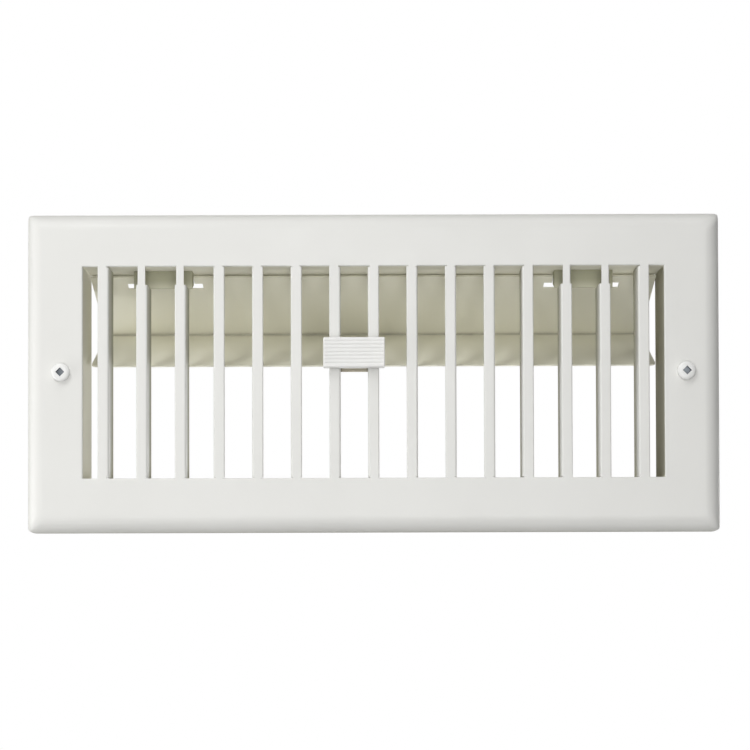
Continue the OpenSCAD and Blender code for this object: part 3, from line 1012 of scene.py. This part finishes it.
@dataclass
class WallScrews:
    """Pan head screws with a square drive, painted on the head and bare below it."""

    paint: Enamel = SCREW_ENAMEL
    metal: BareSteel = RECESS_SHADED_STEEL
    middle_x: float = 132.25 * MM
    seat: float = -8.0 * MM
    head_r: float = 3.885 * MM
    head_h: float = 2.52 * MM
    rim_h: float = 1.45 * MM
    flat_share: float = 0.42
    dome_step: int = 15
    rim_edge: float = 0.12 * MM
    collar_r: float = 1.75 * MM
    collar_end: float = 1.8 * MM
    core_from: float = 2.3 * MM
    core_r: float = 1.45 * MM
    crest_r: float = 2.05 * MM
    length: float = 25.4 * MM
    tip: float = 6.2 * MM
    tip_waist: Span = (0.3, 0.5)  # shares of the tip's length and of core_r
    tip_r: float = 0.05 * MM
    pitch: float = 1.7 * MM
    turns: int = 10
    thread_from: float = 2.4 * MM
    thread_steps: int = 32
    thread_end: float = 1.6  # turns over which the thread runs out
    ridge_base: float = 0.9 * MM
    ridge_out: float = 0.35 * MM
    ridge_crest: float = 0.12
    ridge_sunk: float = 0.25 * MM
    drive: float = 2.8 * MM
    drive_depth: float = 1.5 * MM
    drive_lead: float = 0.5 * MM
    drive_taper: float = 0.9
    drive_slack: float = 0.02 * MM
    paint_edge: float = 0.05 * MM
    sides: int = 64
    crisp: float = 40.0

    def build(self) -> None:
        """Models both screws and sets them on the frame."""
        finishes = (self.paint.material(), self.metal.material())
        for side, node in ((-1, "wall_screw_left"), (1, "wall_screw_right")):
            piece = self.screw(f"{node}_threaded", side * self.middle_x)
            for finish in finishes:
                piece.data.materials.append(finish)
            self.mark_bare(piece, side * self.middle_x)
            hand_over(piece, Body.FRAME, Slot.SCREW, node)

    def screw(self, name: str, x: float) -> bpy.types.Object:
        """Models one screw.

        Args:
            name: name of the piece.
            x: place of its axis.

        Returns:
            The finished screw.
        """
        dome = self.head_h - self.rim_h
        round_share = 1.0 - self.flat_share
        arc = [(-self.rim_h - dome * math.sin(a), self.head_r * (self.flat_share + round_share * math.cos(a)))
               for a in map(math.radians, range(90, -1, -self.dome_step))]
        waist_at, waist = self.tip_waist
        shank = [(-self.rim_edge, self.head_r), (0.0, self.head_r - self.rim_edge), (0.0, self.collar_r),
                 (self.collar_end, self.collar_r), (self.core_from, self.core_r),
                 (self.length - self.tip, self.core_r),
                 (self.length - waist_at * self.tip, waist * self.core_r), (self.length, self.tip_r)]
        body = Bench.turn(name, (x, self.seat, 0), arc + shank, self.sides)
        self.cut_drive(body, x)
        piece = Bench.join(name, [body, self.thread(x)])
        Bench.settle(piece, self.crisp)
        return piece

    def cut_drive(self, body: bpy.types.Object, x: float) -> None:
        """Cuts the square drive, turned on its corner, into the head.

        Args:
            body: turned screw.
            x: place of its axis.
        """
        top = self.seat - self.head_h
        cutter = Bench.block("drive_cutter", (x, top + self.drive_depth / 2 - self.drive_lead, 0.0),
                             (self.drive, self.drive_depth + 2 * self.drive_lead, self.drive),
                             (0.0, math.radians(45), 0.0))
        Bench.edit()
        Bench.pick(lambda p: p.y > top)
        bpy.ops.transform.resize(value=(self.drive_taper, 1, self.drive_taper),
                                 center_override=(x, top + self.drive_depth, 0))
        Bench.done()
        Bench.apply(body, "BOOLEAN", operation="DIFFERENCE", object=cutter, solver="EXACT")
        bpy.data.objects.remove(cutter)
        Bench.edit()
        Bench.heal()
        Bench.done()

    def thread(self, x: float) -> bpy.types.Object:
        """Winds the thread ridge round the core.

        Args:
            x: place of the screw's axis.

        Returns:
            The ridge, closed at both ends and run out over its first and last turn.
        """
        Bench.clear()
        start = self.seat + self.thread_from
        bpy.ops.mesh.primitive_plane_add(size=self.ridge_base, location=(x, start, 0))
        ridge = bpy.context.object
        Bench.edit()
        bpy.ops.mesh.select_all(action="SELECT")
        bpy.ops.transform.translate(value=(self.core_r + self.ridge_out, 0, 0))
        Bench.pick(lambda p: p.x - x > self.core_r + self.ridge_out)
        bpy.ops.transform.resize(value=(1, self.ridge_crest, 1), center_override=(x, start, 0))
        edge = self.core_r + self.ridge_out + self.ridge_base / 2
        bpy.ops.transform.translate(value=(self.crest_r - edge, 0, 0))
        bpy.ops.mesh.select_all(action="SELECT")
        bpy.ops.mesh.delete(type="ONLY_FACE")
        Bench.done()
        Bench.apply(ridge, "SCREW", axis="Y", angle=2 * math.pi, screw_offset=self.pitch,
                    iterations=self.turns, steps=self.thread_steps, render_steps=self.thread_steps,
                    use_merge_vertices=True)
        end = start + self.turns * self.pitch
        for vertex in ridge.data.vertices:
            y = vertex.co.y + start
            share = max(0.0, min(1.0, (y - start) / self.pitch, (end - y) / (self.thread_end * self.pitch)))
            radius = math.hypot(vertex.co.x, vertex.co.z)
            sunk = min(radius, self.core_r - self.ridge_sunk)
            scale = (sunk + (radius - sunk) * share) / radius
            vertex.co.x *= scale
            vertex.co.z *= scale
        Bench.edit()
        bpy.ops.mesh.select_all(action="SELECT")
        bpy.ops.mesh.fill_holes(sides=4)
        Bench.heal()
        Bench.done()
        return ridge

    def mark_bare(self, piece: bpy.types.Object, x: float) -> None:
        """Leaves the drive and the shank bare and the rest painted.

        Args:
            piece: finished screw.
            x: place of its axis.
        """
        reach = self.drive / math.sqrt(2) + self.drive_slack
        for face in piece.data.polygons:
            middle = face.center
            in_drive = abs(middle.x - x) + abs(middle.z) < reach and middle.y < self.seat - self.drive_lead
            face.material_index = int(in_drive or middle.y > self.seat + self.paint_edge)


@dataclass
class Lamp:
    """A soft box that looks at the part, with angles in degrees and lengths in metres."""

    name: str
    azimuth: float
    elevation: float
    distance: float
    width: float
    height: float
    level: float

    def build(self) -> None:
        """Sets the lamp so that a white card facing it at the origin shows at its level."""
        a, e = math.radians(self.azimuth), math.radians(self.elevation)
        back = Vector((math.sin(a) * math.cos(e), -math.cos(a) * math.cos(e), math.sin(e)))
        light = bpy.data.lights.new(self.name, "AREA")
        light.shape = "RECTANGLE"
        light.size, light.size_y = self.width, self.height
        light.energy = self.level * (math.pi * self.distance) ** 2
        lamp = bpy.data.objects.new(self.name, light)
        lamp.location = back * self.distance
        lamp.rotation_euler = (-back).to_track_quat("-Z", "Y").to_euler()
        lamp.visible_camera = False
        bpy.context.scene.collection.objects.link(lamp)
        LOG.info("%s lights at level %.2f", self.name, self.level)


@dataclass
class Studio:
    """Pale floor, white surround, soft boxes and the camera; lens and sensor in mm, the rest in metres."""

    floor_z: float = -0.40
    floor_size: float = 3.0
    floor_tone: Colour = (0.62, 0.62, 0.62)
    floor_deep_tone: Colour = (0.60, 0.60, 0.60)
    floor_mottle: float = 0.02
    floor_rough: float = 0.9
    floor_gloss: float = 0.1
    floor_glow: float = 0.62
    ambient: float = 0.05
    camera_at: Point = (0.0, -0.698, -0.080)
    tilt: float = 1.0
    roll: float = -0.17
    lens: float = 78.45
    sensor: float = 36.0
    clip: float = 0.01
    shift: Span = (0.0013, 0.2096)
    lamps: list[Lamp] = field(default_factory=lambda: [
        Lamp("key_box", -30.0, 35.0, 0.9, 0.34, 0.34, 0.34),
        Lamp("front_box", 1.5, 12.0, 0.75, 0.35, 0.25, 0.21),
        Lamp("front_low_box", 1.5, -18.0, 0.75, 0.55, 0.3, 0.35),
        Lamp("left_box", -78.0, 5.0, 0.45, 0.25, 0.35, 0.16),
        Lamp("left_low_box", -82.0, -20.0, 0.45, 0.25, 0.25, 0.24),
        Lamp("top_box", -10.0, 68.0, 1.1, 1.0, 0.6, 0.32),
        Lamp("rear_box", 150.0, -10.0, 0.8, 0.5, 0.3, 0.34),
        Lamp("rear_low_box", 180.0, -14.0, 1.0, 1.2, 0.25, 0.17),
    ])

    def build(self) -> None:
        """Sets up the whole studio."""
        bpy.context.scene.view_settings.view_transform = "Standard"
        self.surround()
        self.floor()
        for lamp in self.lamps:
            lamp.build()
        self.camera()

    @staticmethod
    def seen_directly(tree: bpy.types.NodeTree) -> bpy.types.NodeSocket:
        """Tells the rays that look at the background from those that only carry light.

        Args:
            tree: node tree to add to.

        Returns:
            1 for camera, glossy and transmission rays, else 0.
        """
        path = tree.nodes.new("ShaderNodeLightPath")
        value = path.outputs["Is Camera Ray"]
        for name in ("Is Glossy Ray", "Is Transmission Ray"):
            either = tree.nodes.new("ShaderNodeMath")
            either.operation = "MAXIMUM"
            tree.links.new(value, either.inputs[0])
            tree.links.new(path.outputs[name], either.inputs[1])
            value = either.outputs["Value"]
        return value

    def surround(self) -> None:
        """Makes the world white to look at, and as a light only a little."""
        world = bpy.data.worlds.new("white_surround")
        world.use_nodes = True
        bpy.context.scene.world = world
        tree = world.node_tree
        level = tree.nodes.new("ShaderNodeMapRange")
        level.inputs["To Min"].default_value = self.ambient
        level.inputs["To Max"].default_value = 1.0
        tree.links.new(self.seen_directly(tree), level.inputs["Value"])
        tree.links.new(level.outputs["Result"], tree.nodes["Background"].inputs["Strength"])
        tree.nodes["Background"].inputs["Color"].default_value = (1.0, 1.0, 1.0, 1.0)

    def floor(self) -> None:
        """Lays the pale floor, which shows white and still takes the shadow."""
        Bench.clear()
        bpy.ops.mesh.primitive_plane_add(size=self.floor_size, location=(0, 0, self.floor_z))
        plane = bpy.context.object
        plane.name = "studio_floor"
        sheet = NodeSheet("floor_paper")
        tone = sheet.spread(sheet.noise(sheet.place(), self.floor_mottle), 0.0, 1.0)
        colour = sheet.blend(tone, self.floor_tone, self.floor_deep_tone)
        sheet.join(colour, sheet.shader.inputs["Base Color"])
        sheet.set(roughness=self.floor_rough, specular_ior_level=self.floor_gloss)
        glow = sheet.node("ShaderNodeEmission")
        glow.inputs["Strength"].default_value = self.floor_glow
        dark = sheet.node("ShaderNodeEmission")
        dark.inputs["Strength"].default_value = 0.0
        pick = sheet.node("ShaderNodeMixShader")
        total = sheet.node("ShaderNodeAddShader")
        sheet.join(self.seen_directly(sheet.tree), pick.inputs["Fac"])
        sheet.join(dark.outputs["Emission"], pick.inputs[1])
        sheet.join(glow.outputs["Emission"], pick.inputs[2])
        sheet.join(sheet.shader.outputs["BSDF"], total.inputs[0])
        sheet.join(pick.outputs["Shader"], total.inputs[1])
        sheet.join(total.outputs["Shader"], sheet.tree.nodes["Material Output"].inputs["Surface"])
        plane.data.materials.append(sheet.material)

    def camera(self) -> None:
        """Sets the camera to the photograph's low view."""
        eye = bpy.data.cameras.new("view")
        eye.sensor_width = self.sensor
        eye.lens = self.lens
        eye.shift_x, eye.shift_y = self.shift
        eye.clip_start = self.clip
        stand = bpy.data.objects.new("view", eye)
        stand.location = self.camera_at
        level = Matrix.Rotation(math.radians(90.0 + self.tilt), 4, "X")
        stand.rotation_euler = (level @ Matrix.Rotation(math.radians(self.roll), 4, "Z")).to_euler()
        bpy.context.scene.collection.objects.link(stand)
        bpy.context.scene.camera = stand


def main() -> None:
    """Builds and dresses every sub-assembly, then the studio."""
    for part in (FacePressing(), DuctCollar(), FoldingDamper(), SlidingKnob(), WallScrews(), Studio()):
        part.build()
        LOG.info("%s is ready", type(part).__name__)


if __name__ == "__main__":
    main()
